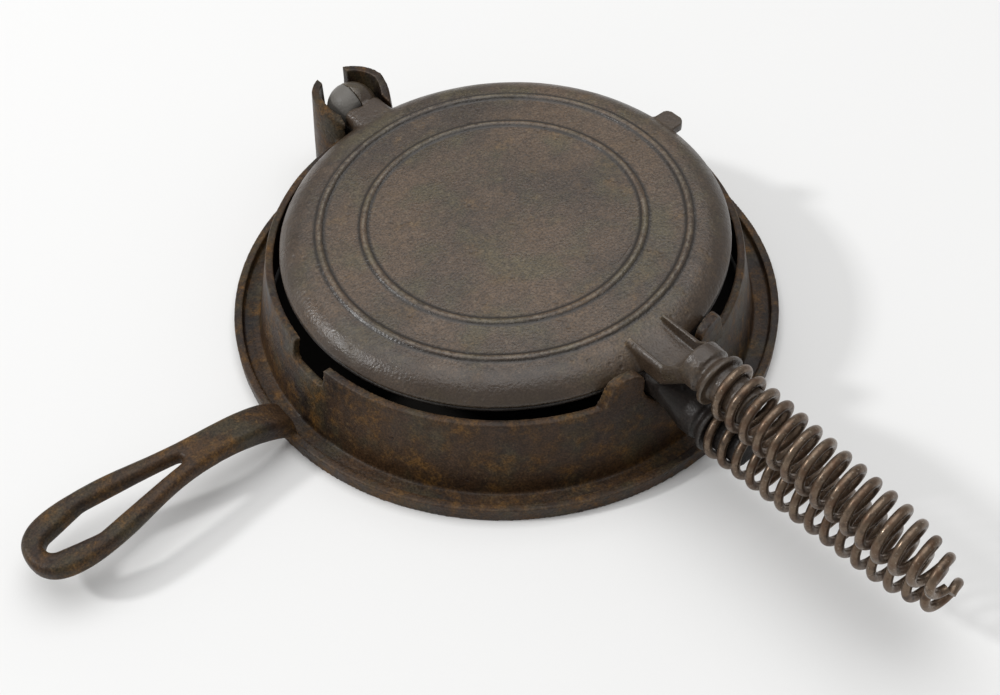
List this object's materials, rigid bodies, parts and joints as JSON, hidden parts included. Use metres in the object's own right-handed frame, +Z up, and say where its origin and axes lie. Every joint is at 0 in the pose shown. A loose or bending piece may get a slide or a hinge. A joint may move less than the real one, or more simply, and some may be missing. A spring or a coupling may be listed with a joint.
{
  "type": "stovetop waffle iron",
  "caption": "Round cast-iron waffle iron: a pair of hinged plates with wire coil handles turns over in a low ring base with a loop handle.",
  "frame": {"origin": "centre of the base ring, on the plane it stands on", "axes": "+Z up; +Y from the coil handles towards the ball hinge; -X along the base's loop handle"},
  "size_m": [0.355, 0.3711, 0.0677],
  "materials": {
    "base_iron": "seasoned, rust-mottled casting",
    "plate_iron": "seasoned casting, worn smooth",
    "steel_pin": "darkened steel",
    "coil_wire": "tarnished steel wire"
  },
  "bodies": {
    "base": {"base_ring": "base_iron", "hinge_cradle": "base_iron", "loop_handle": "base_iron"},
    "lower_plate": {"lower_paddle": "plate_iron", "lower_coil_handle": "coil_wire", "hinge_pin": "steel_pin"},
    "upper_plate": {"upper_paddle": "plate_iron", "upper_coil_handle": "coil_wire"}
  },
  "joints": [
    {"name": "pair_turns_over", "type": "hinge", "parent": "base", "child": "lower_plate", "pos_m": [0, 0.112, 0.042], "axis": [0, 1, 0], "range_deg": [-180, 0]},
    {"name": "lid_opens", "type": "hinge", "parent": "lower_plate", "child": "upper_plate", "pos_m": [0, 0.112, 0.042], "axis": [-0.9993, 0, -0.0361], "range_deg": [0, 30]}
  ]
}
